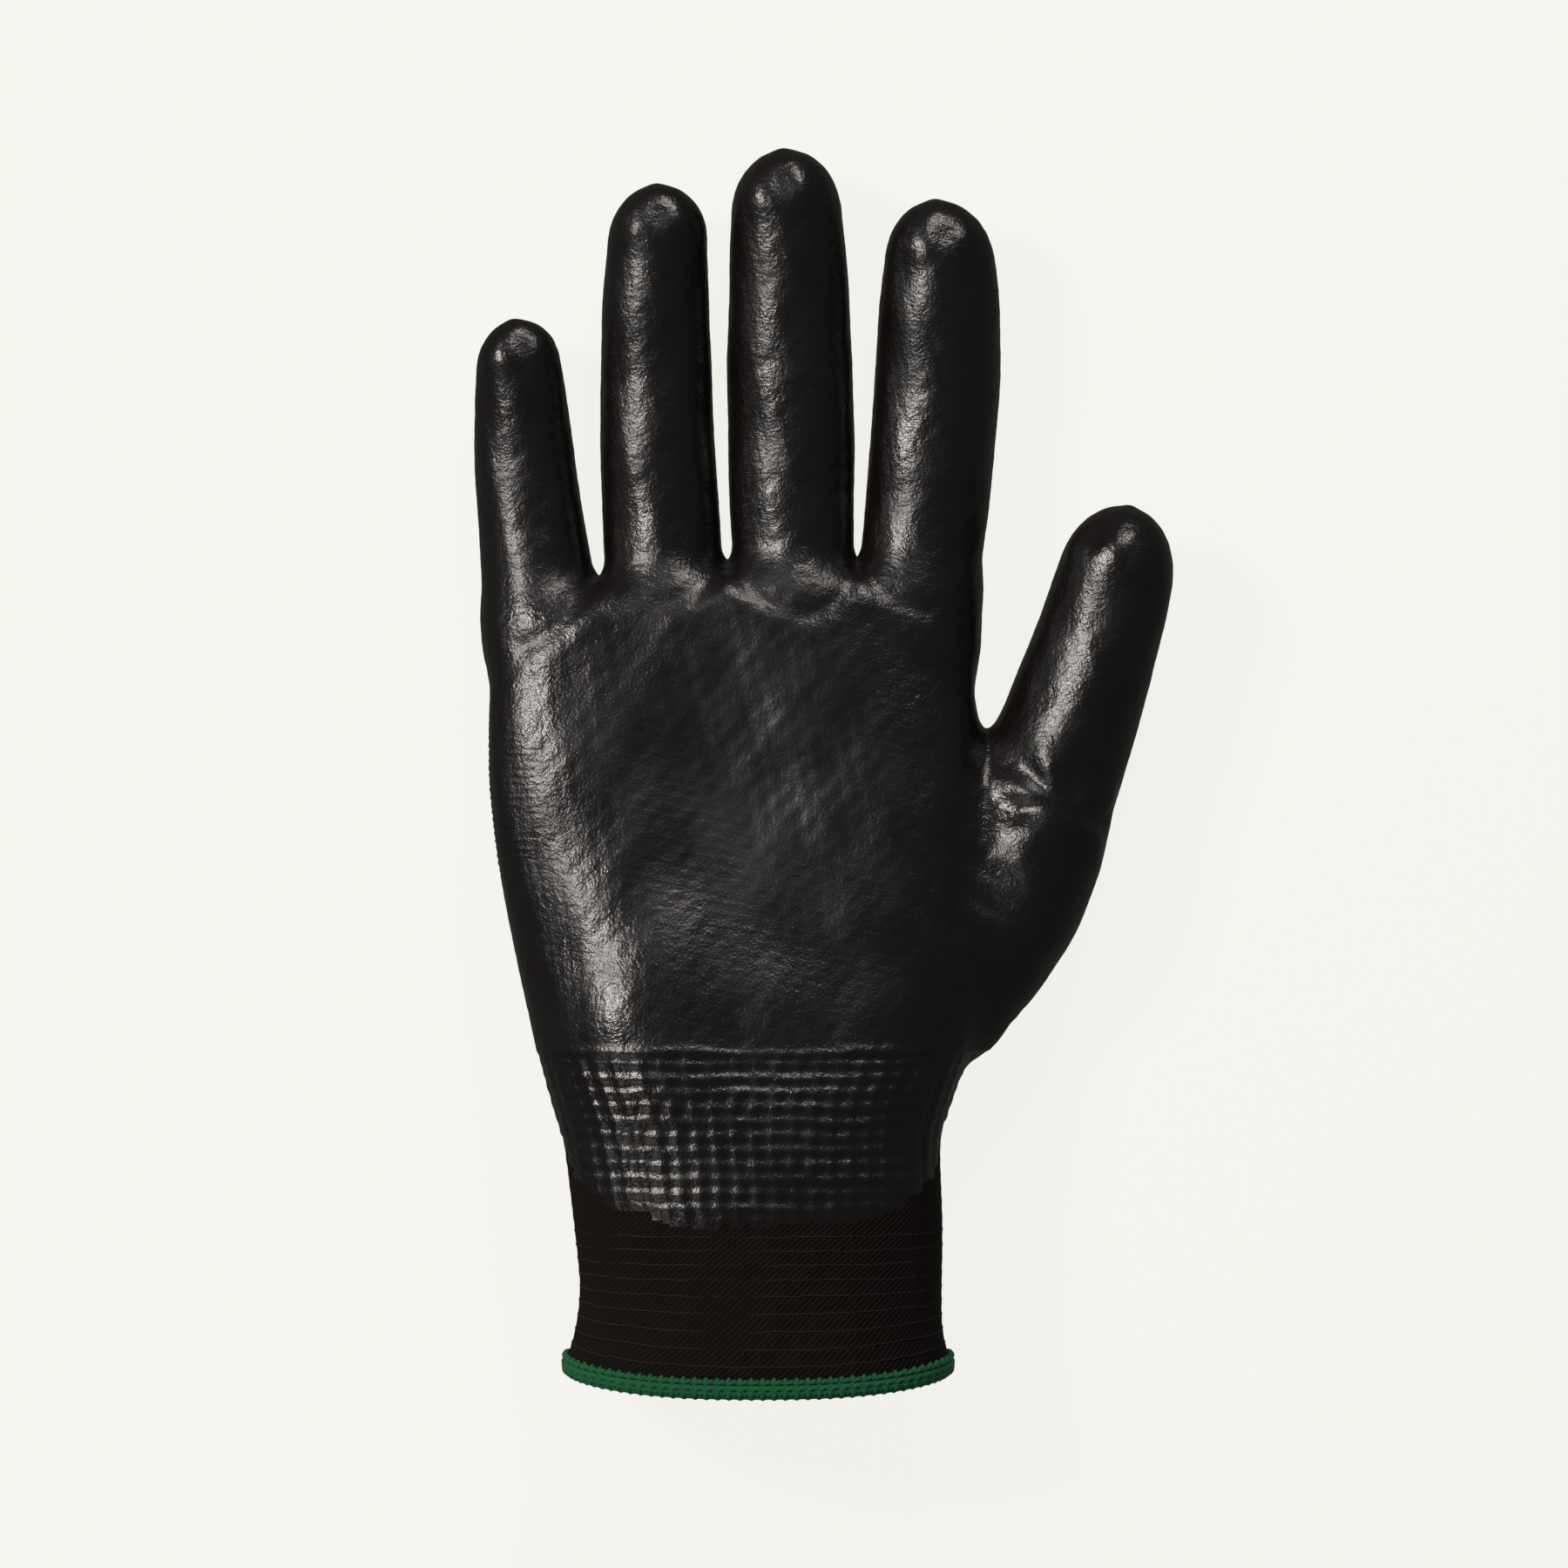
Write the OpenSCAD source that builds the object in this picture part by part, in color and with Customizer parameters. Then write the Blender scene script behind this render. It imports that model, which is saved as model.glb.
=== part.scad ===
// Coated knit work glove, right hand, lying on its back with the palm up.
// +Y runs to the fingertips, +X to the thumb side and +Z out of the palm.
// The knitted liner is a hollow shell that a hand fills. It is divided at the
// hand's own joints, and the dipped coating lies on its palm side.

/* [Fabric] */
// Thickness of the knitted liner
liner_wall = 1.0; // [0.8:0.1:1.4]
// Thickness of the dipped coating
coat_wall = 0.5; // [0.3:0.1:0.8]
// Clear gap left at each folding line
fold_gap = 0.4; // [0.3:0.1:0.8]

/* [Fingers] */
// Length of the little finger from its web to its tip
little_length = 49.7; // [46:0.1:54]
// Length of the ring finger
ring_length = 71.8; // [68:0.1:76]
// Length of the middle finger
middle_length = 78.3; // [74:0.1:82]
// Length of the index finger
index_length = 68.2; // [64:0.1:72]
// Length of the thumb
thumb_length = 56.4; // [52:0.1:60]
// Thickness of a finger as a share of its width
finger_flatness = 0.88; // [0.8:0.01:0.95]

/* [Folding] */
// Largest bend at the root of each finger, in degrees
root_bend = 45; // [30:1:45]
// Largest bend at each finger's middle joint
middle_bend = 85; // [60:1:88]
// Largest bend at each finger's end joint
end_bend = 55; // [40:1:60]
// Largest fold of the palm along the knuckles
knuckle_bend = 45; // [30:1:50]
// Largest bend of the wrist, each way
wrist_bend = 25; // [15:1:30]
// Largest bend at the root of the thumb
thumb_root_bend = 45; // [30:1:45]
// Largest bend at the thumb's end joint
thumb_end_bend = 60; // [40:1:65]

/* [Cuff] */
// Distance between two elastic threads
elastic_pitch = 2.75; // [2.5:0.05:2.8]
// Number of elastic threads in the bare part of the cuff
elastic_count = 9; // [4:1:9]
// Thickness of an elastic thread
elastic_thick = 0.35; // [0.2:0.05:0.5]
// Height of the overlocked hem
hem_height = 4; // [3:0.1:5]
// Thickness of the overlock thread
hem_thread = 0.9; // [0.6:0.1:1.1]
// How much lower the hem hangs at mid palm than at its sides
hem_droop = 4.5; // [0:0.1:6]

/* [Hidden] */

FINGER_SIDES = 16;
PALM_SIDES = 24;
FINGER_REACH = 20;               // half depth of the cuts at a finger's joints
FOLD_REACH = 60;                 // and at the folds across the hand
FAR = 200;                       // reach of the cutting shapes

// Places in a finger's list.
BASE = 0; TILT = 1; LEN = 2; BOW = 3; ROLL = 4; HALF_WIDTHS = 5; JOINTS = 6; BENDS = 7;
FINGER_Z = 12.6;                 // height of a finger's centre line at its web
FINGER_RISE = 3;                 // how much a fingertip curls up
TIP_REACH = 1.1;                 // length of a fingertip's dome as a share of its half width
PIVOT_UP = 2;                    // hinge lines lie this far to the palm side of the centre line
WIDTH_STATIONS = [-0.22, 0, 0.27, 0.5, 0.73];
BENDS_4 = [root_bend, middle_bend, end_bend];

// Centre of each finger at its web, the tilt to +X in degrees, length, sideways
// bow, roll, half widths at WIDTH_STATIONS, and each joint's distance from the web.
little = [[-55.2, 38.0, FINGER_Z - 0.9], -4.5, little_length, -0.8, 0,
          [10.7, 10.6, 9.8, 9.4, 8.3], [6, 19, 35], BENDS_4];
ring = [[-31.1, 41.4, FINGER_Z], -0.6, ring_length, -1.1, 0,
        [11.2, 11.2, 11.1, 10.5, 9.7], [8, 27, 50], BENDS_4];
middle = [[-6.1, 41.7, FINGER_Z], -1, middle_length, 0, 0,
          [11.4, 11.5, 12.1, 11.7, 10.8], [8, 27.5, 53.5], BENDS_4];
index = [[18.4, 42.1, FINGER_Z], 2.9, index_length, 1.4, 0,
         [11.4, 11.6, 11.9, 11.9, 11.0], [7.5, 24.5, 46], BENDS_4];
thumb = [[42.2, -2.6, 15.5], 17.3, thumb_length, 0.8, 40,
         [15.2, 13.9, 13.2, 12.2, 11.2], [10, 30], [thumb_root_bend, thumb_end_bend]];

// Cross-sections of the palm: y, low x, high x, low z, high z.
palm_sections = [
    [-60, -52.4, 25.2, 0.6, 42],
    [-51, -55, 31.7, 0, 40.5],
    [-39, -58, 40.4, -0.4, 39],
    [-26.5, -60.7, 49.3, -0.4, 37.5],
    [-14, -62.8, 54.1, -0.4, 35],
    [-1.4, -64.4, 31.2, -0.4, 32],
    [17.5, -64.3, 28.4, 0, 28.5],
    [28.7, -64.9, 28.3, 0.5, 26.5],
    [39, -65.6, 29.4, 1.6, 24]
];
palm_squareness = 2.5;

// Cross-sections of the cuff, from the wrist fold to the knit's end.
cuff_sections = [
    [-60, -52.4, 25.2, 0.6, 42],
    [-68.3, -50.2, 22.2, 0.8, 43],
    [-85, -48.3, 22.5, 0.5, 44],
    [-97.6, -47.1, 22.4, 0.4, 44],
    [-106, -48.2, 22.4, 0.9, 45],
    [-112, -49.6, 23.6, 1.2, 46]
];
HEM_SIDE_Y = -114.5;             // the hem's end at the sides
CUFF_END_Y = -112;               // the knit's end at the sides
HEM_STITCHES = 44;
WRIST_PIVOT = [-60, 21];         // y and z of the wrist fold
KNUCKLE_PIVOT = [17.5, 18];      // y and z of the fold along the knuckles
FIRST_ELASTIC_Y = -87;           // the elastic thread beside the coating's edge
SAG_START_Y = -97.6;             // past this the cuff's courses begin to sag at mid palm

// Edge of the coating seen from the side: y and z. All above it is coated.
dip_line = [[-85, 46], [-79, 35], [-71, 27], [-60, 20], [-40, 15], [0, 12.5],
            [40, 10], [80, 7], [104, 3], [118, -2]];

// A ring of n points about c. squareness 2 is an ellipse, and more is squarer.
function ring_points(c, side, up, a, b, n, squareness = 2) = [
    for (i = [0 : n - 1])
        let (t = 360 * i / n, x = cos(t), y = sin(t), p = 2 / squareness)
        c + side * (a * sign(x) * pow(abs(x), p)) + up * (b * sign(y) * pow(abs(y), p))
];

// A finger's own directions: along, to its side, and to its palm side.
function along(f) = [sin(f[TILT]), cos(f[TILT]), 0];
function flat_side(f) = [cos(f[TILT]), -sin(f[TILT]), 0];
function side(f) = cos(f[ROLL]) * flat_side(f) + [0, 0, sin(f[ROLL])];
function up(f) = [0, 0, cos(f[ROLL])] - sin(f[ROLL]) * flat_side(f);
function flat_point(f, s) = f[BASE] + along(f) * s;
function spine(f, s) =
    let (t = max(0, s / f[LEN]))
    flat_point(f, s) + flat_side(f) * (f[BOW] * sin(180 * min(t, 1))) + [0, 0, FINGER_RISE * t * t];

// Rings of a finger's surface, moved out by grow, ending in a round tip.
function finger_rings(f, grow) =
    let (w = f[HALF_WIDTHS], tip = w[4], dome_start = f[LEN] - tip * TIP_REACH)
    concat(
        [for (i = [0 : 3]) finger_ring(f, WIDTH_STATIONS[i] * f[LEN], w[i] + grow, grow)],
        [for (i = [0 : 4])
            let (a = [0, 28, 52, 72, 86][i], s = dome_start + (tip * TIP_REACH + grow) * sin(a))
            finger_ring(f, s, (tip + grow) * cos(a), grow * cos(a))]
    );
function finger_ring(f, s, a, grow) = ring_points(
    spine(f, s), side(f), up(f), a, (a - grow) * finger_flatness + grow, FINGER_SIDES);

function section_ring(s, grow, droop = 0) =
    let (c = [(s[1] + s[2]) / 2, s[0], (s[3] + s[4]) / 2], b = (s[4] - s[3]) / 2,
         flat = ring_points(c, [1, 0, 0], [0, 0, 1], (s[2] - s[1]) / 2 + grow, b + grow,
                            PALM_SIDES, palm_squareness))
    [for (p = flat) p - [0, droop * pow((p[2] - c[2]) / (b + grow), 2), 0]];
function palm_rings(grow) = [for (s = palm_sections) section_ring(s, grow)];
function droop_at(y) = hem_droop * max(0, (y - SAG_START_Y) / (HEM_SIDE_Y - SAG_START_Y));
// The cuff's course that meets its sides at y. Past the last section it keeps that one's size.
function cuff_size(y, k) = lookup(y, [for (s = cuff_sections) [s[0], s[k]]]);
function cuff_ring(y, grow) = section_ring(
    [y, cuff_size(y, 1), cuff_size(y, 2), cuff_size(y, 3), cuff_size(y, 4)], grow, droop_at(y));

// Points just past ring b and inside its rim, so that each piece of a skin runs
// into the next and leaves no seam between them.
function mean(ring) = [for (p = ring) 1] * ring / len(ring);
function lap(a, b) = let (c = mean(b), step = c - mean(a))
    [for (p = b) c + 0.96 * (p - c) + 0.05 * step / norm(step)];

// A convex piece through a cloud of points, and a skin over a row of rings.
module cloud(p) hull() polyhedron(p, [for (i = [0 : len(p) - 3]) [i, i + 1, i + 2]]);
module skin(rings) for (i = [0 : len(rings) - 2])
    cloud(concat(rings[i], rings[i + 1], i < len(rings) - 2 ? lap(rings[i], rings[i + 1]) : []));

// The shape of the palm with the fingers that grow out of it.
module hand_form(fingers, grow) {
    skin(palm_rings(grow));
    for (f = fingers) skin(finger_rings(f, grow));
}

// A prism across the hand from a side view of y and z points.
module across(outline) rotate([90, 0, 90]) linear_extrude(FAR, center = true) polygon(outline);

// The far side of a fold at the origin: all that is more than half a gap past it,
// cut back by half the bend on the palm side and by half the back bend on the other.
function past_fold(bend, back, reach) = let (g = fold_gap / 2) [
    [g + reach * tan(back / 2), -reach], [g, 0], [g + reach * tan(bend / 2), reach],
    [FAR, reach], [FAR, -reach]
];
module at_fold(pivot) translate([0, pivot[0], pivot[1]]) children();
module beyond_knuckles() at_fold(KNUCKLE_PIVOT) across(past_fold(knuckle_bend, 0, FOLD_REACH));
module below_knuckles() at_fold(KNUCKLE_PIVOT) mirror([0, 1, 0])
    across(past_fold(knuckle_bend, 0, FOLD_REACH));
module above_wrist() at_fold(WRIST_PIVOT) across(past_fold(wrist_bend, wrist_bend, FOLD_REACH));
module below_wrist() at_fold(WRIST_PIVOT) mirror([0, 1, 0])
    across(past_fold(wrist_bend, wrist_bend, FOLD_REACH));

// Moves to a finger's joint, with +X along the finger and +Y to its palm side.
module at_joint(f, j) {
    p = spine(f, f[JOINTS][j]) + up(f) * PIVOT_UP;
    d = along(f);
    u = up(f);
    s = side(f);
    multmatrix([[d[0], u[0], s[0], p[0]], [d[1], u[1], s[1], p[1]], [d[2], u[2], s[2], p[2]]])
        linear_extrude(2 * FINGER_REACH, center = true) children();
}
// All of a finger past joint j, or before it.
module past_joint(f, j) at_joint(f, j) polygon(past_fold(f[BENDS][j], 0, FINGER_REACH));
module before_joint(f, j) at_joint(f, j) mirror([1, 0])
    polygon(past_fold(f[BENDS][j], 0, FINGER_REACH));
// What a finger takes away from the part of the hand that it grows out of.
module finger_cut(f) intersection() {
    skin(finger_rings(f, 1));
    at_joint(f, 0) polygon([
        [-fold_gap / 2, -FINGER_REACH], [-fold_gap / 2, 0],
        [-fold_gap / 2 - FINGER_REACH * tan(f[BENDS][0] / 2), FINGER_REACH],
        [FAR, FINGER_REACH], [FAR, -FINGER_REACH]
    ]);
}

module coated_side() across(concat(dip_line, [[FAR, -2], [FAR, FAR], [-85, FAR]]));
module off_the_floor() translate([-FAR, -FAR, 0]) cube(2 * FAR);

// One layer of the hand: the liner's shell, or the coating over its palm side.
module hand_layer(fingers, coat) intersection() {
    difference() {
        hand_form(fingers, coat ? coat_wall : 0);
        hand_form(fingers, coat ? 0 : -liner_wall);
    }
    if (coat) coated_side(); else off_the_floor();
}
module palm_part(coat) intersection() {
    difference() {
        hand_layer([thumb], coat);
        finger_cut(thumb);
    }
    below_knuckles();
    above_wrist();
}
module knuckles_part(coat) intersection() {
    difference() {
        hand_layer([little, ring, middle, index], coat);
        for (f = [little, ring, middle, index]) finger_cut(f);
    }
    beyond_knuckles();
}
module finger_part(f, j, coat) intersection() {
    difference() {
        skin(finger_rings(f, coat ? coat_wall : 0));
        skin(finger_rings(f, coat ? 0 : -liner_wall));
    }
    past_joint(f, j);
    if (j < len(f[JOINTS]) - 1) before_joint(f, j + 1); else off_the_floor();
    if (coat) coated_side(); else off_the_floor();
}

// The cuff's surface moved out by grow. A hollow runs on past the knit's end.
module cuff_form(grow, run_on = 0) skin(concat(
    [for (s = cuff_sections) cuff_ring(s[0], grow)],
    run_on > 0 ? [cuff_ring(CUFF_END_Y - run_on, grow)] : []));
module cuff_layer(outer, inner) difference() {
    cuff_form(outer);
    cuff_form(inner, 4);
}
// An elastic thread round the cuff, on the course that meets its sides at y.
module elastic_ring(y) difference() {
    skin([for (side = [-0.3, 0.3]) cuff_ring(y + side, elastic_thick)]);
    skin([for (side = [-0.6, 0.6]) cuff_ring(y + side, 0.12)]);
}

// A point of the hem's edge line, a share of the way round, at a height above it.
function hem_point(share, height, grow) =
    let (r = cuff_ring(HEM_SIDE_Y + height, grow), at = share * PALM_SIDES, i = floor(at), t = at - i)
    r[i % PALM_SIDES] * (1 - t) + r[(i + 1) % PALM_SIDES] * t;
module bead(p, d) translate(p) rotate([90, 0, 0]) cylinder(h = d, d = d, center = true, $fn = 4);
module strand(a, b, d) hull() {
    bead(a, d);
    bead(b, d);
}
// A thread that zigzags round the hem between two heights, with a loop per stitch.
module looper(low, high, grow, d) for (i = [0 : HEM_STITCHES - 1]) {
    strand(hem_point(i / HEM_STITCHES, low, grow), hem_point((i + 0.5) / HEM_STITCHES, high, grow), d);
    strand(hem_point((i + 0.5) / HEM_STITCHES, high, grow), hem_point((i + 1) / HEM_STITCHES, low, grow), d);
}

module knit() color([0.12, 0.115, 0.11]) children();
module coated() color([0.06, 0.06, 0.06]) children();
module hem_yarn() color([0.08, 0.40, 0.24]) children();

module liner_palm() knit() palm_part(false);
module liner_knuckles() knit() knuckles_part(false);
module liner_little_root() knit() finger_part(little, 0, false);
module liner_little_mid() knit() finger_part(little, 1, false);
module liner_little_tip() knit() finger_part(little, 2, false);
module liner_ring_root() knit() finger_part(ring, 0, false);
module liner_ring_mid() knit() finger_part(ring, 1, false);
module liner_ring_tip() knit() finger_part(ring, 2, false);
module liner_middle_root() knit() finger_part(middle, 0, false);
module liner_middle_mid() knit() finger_part(middle, 1, false);
module liner_middle_tip() knit() finger_part(middle, 2, false);
module liner_index_root() knit() finger_part(index, 0, false);
module liner_index_mid() knit() finger_part(index, 1, false);
module liner_index_tip() knit() finger_part(index, 2, false);
module liner_thumb_root() knit() finger_part(thumb, 0, false);
module liner_thumb_tip() knit() finger_part(thumb, 1, false);
module coating_palm() coated() palm_part(true);
module coating_knuckles() coated() knuckles_part(true);
module coating_little_root() coated() finger_part(little, 0, true);
module coating_little_mid() coated() finger_part(little, 1, true);
module coating_little_tip() coated() finger_part(little, 2, true);
module coating_ring_root() coated() finger_part(ring, 0, true);
module coating_ring_mid() coated() finger_part(ring, 1, true);
module coating_ring_tip() coated() finger_part(ring, 2, true);
module coating_middle_root() coated() finger_part(middle, 0, true);
module coating_middle_mid() coated() finger_part(middle, 1, true);
module coating_middle_tip() coated() finger_part(middle, 2, true);
module coating_index_root() coated() finger_part(index, 0, true);
module coating_index_mid() coated() finger_part(index, 1, true);
module coating_index_tip() coated() finger_part(index, 2, true);
module coating_thumb_root() coated() finger_part(thumb, 0, true);
module coating_thumb_tip() coated() finger_part(thumb, 1, true);
module knit_cuff() color([0.13, 0.125, 0.12]) intersection() {
    cuff_layer(0, -liner_wall);
    below_wrist();
}
module coating_wrist() color([0.07, 0.07, 0.07]) intersection() {
    cuff_layer(coat_wall, 0);
    below_wrist();
    coated_side();
}
module elastic_threads() color([0.2, 0.19, 0.18]) for (i = [0 : elastic_count - 1])
    elastic_ring(FIRST_ELASTIC_Y - i * elastic_pitch);
module hem_outer_looper_thread() hem_yarn() looper(0, hem_height, hem_thread / 2 + 0.2, hem_thread);
module hem_inner_looper_thread() hem_yarn()
    looper(0, hem_height, -liner_wall - hem_thread / 2 - 0.8, hem_thread);
module hem_needle_thread() hem_yarn() for (i = [0 : HEM_STITCHES - 1]) strand(
    hem_point(i / HEM_STITCHES, hem_height + 0.9, hem_thread / 4 + 0.35),
    hem_point((i + 1) / HEM_STITCHES, hem_height + 0.9, hem_thread / 4 + 0.35), hem_thread / 2);

liner_palm();
liner_knuckles();
liner_little_root();
liner_little_mid();
liner_little_tip();
liner_ring_root();
liner_ring_mid();
liner_ring_tip();
liner_middle_root();
liner_middle_mid();
liner_middle_tip();
liner_index_root();
liner_index_mid();
liner_index_tip();
liner_thumb_root();
liner_thumb_tip();
coating_palm();
coating_knuckles();
coating_little_root();
coating_little_mid();
coating_little_tip();
coating_ring_root();
coating_ring_mid();
coating_ring_tip();
coating_middle_root();
coating_middle_mid();
coating_middle_tip();
coating_index_root();
coating_index_mid();
coating_index_tip();
coating_thumb_root();
coating_thumb_tip();
knit_cuff();
coating_wrist();
elastic_threads();
hem_outer_looper_thread();
hem_inner_looper_thread();
hem_needle_thread();
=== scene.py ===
import math
import bpy
import numpy as np
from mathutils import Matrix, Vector


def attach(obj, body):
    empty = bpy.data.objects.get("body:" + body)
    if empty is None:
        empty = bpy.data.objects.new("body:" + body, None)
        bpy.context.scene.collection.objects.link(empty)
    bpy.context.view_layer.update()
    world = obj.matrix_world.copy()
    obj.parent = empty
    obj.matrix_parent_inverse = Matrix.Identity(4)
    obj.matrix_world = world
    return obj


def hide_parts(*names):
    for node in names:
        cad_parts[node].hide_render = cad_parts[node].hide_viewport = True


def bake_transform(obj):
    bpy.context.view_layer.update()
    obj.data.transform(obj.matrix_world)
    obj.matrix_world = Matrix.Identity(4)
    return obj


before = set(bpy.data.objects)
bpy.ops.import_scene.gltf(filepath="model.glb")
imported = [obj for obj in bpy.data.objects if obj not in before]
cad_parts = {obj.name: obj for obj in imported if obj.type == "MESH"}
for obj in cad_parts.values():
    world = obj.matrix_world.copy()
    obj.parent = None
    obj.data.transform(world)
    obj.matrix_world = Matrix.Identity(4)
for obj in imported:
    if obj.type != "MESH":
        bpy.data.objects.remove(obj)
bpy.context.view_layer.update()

# All lengths below are in millimetres, in the part's frame, until a mesh is made.
MM = 0.001
CELL = 1.1                      # grid size of the first surface, halved afterwards
KNIT_WALL = 1.2
COAT_WALL = 0.45
RELIEF_SINK = 0.25              # keeps the relief's peaks inside the outline

# The cuff: where it ends, how far its lower edge hangs at the front and back, and
# the pitch of its knitted ribs and courses.
CUFF_END = -111.2
HEM_DROOP = 3.2
DROOP_ZONE = (92, 114)
RIB_PITCH = 3.5
COURSE_PITCH = 2.7

ELASTIC_COUNT = 9
ELASTIC_PITCH = 2.65
FIRST_ELASTIC = -86.3
ELASTIC_RADIUS = 0.16
ELASTIC_SINK = 0.27             # the threads lie this deep in the knit

# The hem: its stitches, and the points along the thread in each stitch.
STITCHES = 92
PER_STITCH = 16

# Parts of the glove that bend: low and high y of the wrist's fold and the knuckles'
# fold, and how far a piece reaches past its fold.
WRIST_ZONE = (-75, -45)
KNUCKLE_ZONE = (4.5, 31)
PAST_FOLD = 1.5

# ---- the shape of the glove ------------------------------------------------

# Fingers: place at the web, lean to +X in degrees, length, sideways bow, roll in
# degrees, half widths at WIDTH_STATIONS (as shares of the length), and the distances
# at which the segments part.
WIDTH_STATIONS = (-0.22, 0, 0.27, 0.5, 0.73, 0.86)
FINGERS = {
    "little": dict(base=(-55.2, 38.0, 11.7), lean=-4.5, length=49.7, bow=-0.8,
                   widths=(10.6, 10.6, 9.8, 9.4, 8.5, 7.6), parts=(0.5, 12.5, 27)),
    "ring": dict(base=(-31.1, 41.4, 12.6), lean=-0.6, length=71.8, bow=-1.1,
                 widths=(11.2, 11.1, 10.9, 10.5, 9.9, 9.2), parts=(0.5, 17.5, 38.5)),
    "middle": dict(base=(-6.2, 41.7, 12.6), lean=-1, length=78.3, bow=0,
                   widths=(11.4, 11.4, 12.0, 11.8, 11.0, 10.2), parts=(0.5, 17.7, 40.5)),
    "index": dict(base=(18.4, 42.1, 12.6), lean=2.9, length=68.2, bow=1.4,
                  widths=(11.3, 11.4, 11.8, 11.9, 11.3, 10.1), parts=(0.5, 16, 35)),
    "thumb": dict(base=(42.2, -2.6, 15.5), lean=17.3, length=56.4, bow=0.8, roll=40,
                  widths=(15.0, 13.9, 13.2, 12.3, 11.5, 10.7), parts=(1, 20)),
}
# The thumb's mound runs on down the hand: distances along, and half widths.
MOUND_STATIONS = (-46, -36, -25)
MOUND_WIDTHS = (6.5, 11.0, 14.2)
FLATNESS = 0.88                 # a finger's depth as a share of its width
TIP_CURL = 3                    # how far a fingertip rises
FINGER_SAG = 1.3                # how far a finger's middle lies below its ends
TIP_REACH = 1.16                # a fingertip's length as a share of its half width

# The hand's body and the cuff: y, low x, high x, low z, high z.
BODY = np.array([
    (-140, -51.2, 25.6, 1.4, 46), (-116, -50.9, 25.3, 1.4, 46), (-112, -50.0, 24.2, 1.4, 45.6),
    (-106, -47.9, 22.3, 1.2, 45), (-97.6, -46.8, 22.3, 1.0, 44), (-85, -48.2, 22.5, 0.9, 43.6),
    (-68.3, -49.9, 21.9, 0.9, 42.5), (-60, -52.2, 24.6, 0.9, 41.5), (-51, -54.6, 28.2, 0.7, 39.5),
    (-39, -57.8, 32, 0.5, 37.5), (-26.5, -60.7, 33.5, 0.5, 35.5), (-14, -62.6, 32.5, 0.5, 33.5),
    (-1.4, -64.3, 30.2, 0.5, 31.5), (17.5, -64.0, 28.2, 0.6, 28.5), (28.7, -64.4, 27.8, 1.0, 26.8),
    (39, -64.8, 28.4, 1.8, 24.8), (60, -64.8, 28.4, 3.0, 24),
])
SQUARENESS = 2.45               # 2 is an ellipse, more is squarer
PALM_SQUARER = 0.9              # added at the middle of the palm
BODY_END = 40.0


def smooth_curve(xs, ys, low, high, width):
    """A rounded curve through a few points, as a function."""
    fine = np.arange(low, high, 0.5)
    straight = np.interp(fine, xs, ys)
    reach = max(1, int(width * 2))
    kernel = np.hanning(2 * reach + 1)[1:-1]
    padded = np.pad(straight, reach - 1, mode="edge")
    rounded = np.convolve(padded, kernel / kernel.sum(), mode="valid")

    def curve(x):
        return np.interp(x, fine, rounded)

    return curve


def smooth_min(a, b, k):
    """The lower of two values, rounded over a band k wide where they meet."""
    h = np.maximum(k - np.abs(a - b), 0) / k
    return np.minimum(a, b) - h * h * k * 0.25


def smoothstep(x, low=0.0, high=1.0):
    """A soft step from 0 at low to 1 at high."""
    t = np.clip((x - low) / (high - low), 0, 1)
    return t * t * (3 - 2 * t)


def bell(distance, width):
    """1 at no distance, falling smoothly to 0."""
    return np.exp(-(distance / width) ** 2)


def mound(x, y, centre, reach):
    """1 at the centre, falling smoothly to 0 in both directions."""
    return np.exp(-((x - centre[0]) / reach[0]) ** 2 - ((y - centre[1]) / reach[1]) ** 2)


class Finger:
    """A round-ended tube along a bowed centre line."""

    def __init__(self, name, base, lean, length, bow, widths, parts, roll=0):
        self.name, self.length, self.bow, self.parts = name, length, bow, parts
        a, r = math.radians(lean), math.radians(roll)
        flat_side = np.array((math.cos(a), -math.sin(a), 0))
        self.base = np.array(base)
        self.along = np.array((math.sin(a), math.cos(a), 0))
        self.flat_side = flat_side
        self.side = math.cos(r) * flat_side + math.sin(r) * np.array((0, 0, 1))
        self.up = math.cos(r) * np.array((0, 0, 1)) - math.sin(r) * flat_side
        stations = np.array(WIDTH_STATIONS) * length
        self.sag = FINGER_SAG
        if name == "thumb":
            stations = np.concatenate((MOUND_STATIONS, stations))
            widths = MOUND_WIDTHS + widths
            self.sag = 0
        self.root = stations[0]
        self.width = smooth_curve(stations, widths, -70, 90, 6)
        self.tip = widths[-1]

    def centre(self, s):
        """The centre line's point at distance s along the finger."""
        t = np.clip(s / self.length, 0, 1)
        rise = TIP_CURL * t * t - self.sag * np.sin(np.pi * t)
        return (self.base + np.multiply.outer(s, self.along)
                + np.multiply.outer(self.bow * np.sin(np.pi * t), self.flat_side)
                + np.multiply.outer(rise, (0, 0, 1)))

    def local(self, p):
        """Distance along, to the side and to the palm side of the centre line."""
        s = (p - self.base) @ self.along
        away = p - self.centre(s)
        return s, away @ self.side, away @ self.up

    def field(self, p):
        """About the distance from the finger's surface, negative inside."""
        s, across, high = self.local(p)
        radial = np.sqrt(across ** 2 + (high / FLATNESS) ** 2 + 1e-9)
        dome = self.tip * TIP_REACH
        past_tip = np.maximum(s - (self.length - dome), 0) / TIP_REACH
        past = past_tip + np.maximum(self.root - s, 0)
        ball = np.sqrt(radial ** 2 + past ** 2) - self.width(s)
        return ball * FLATNESS ** 0.5


FINGER_SHAPES = [Finger(name, **f) for name, f in FINGERS.items()]
THUMB = FINGER_SHAPES[-1]
BODY_CURVES = [smooth_curve(BODY[:, 0], BODY[:, k], -140, 62, 7) for k in (1, 2, 3, 4)]


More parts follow.
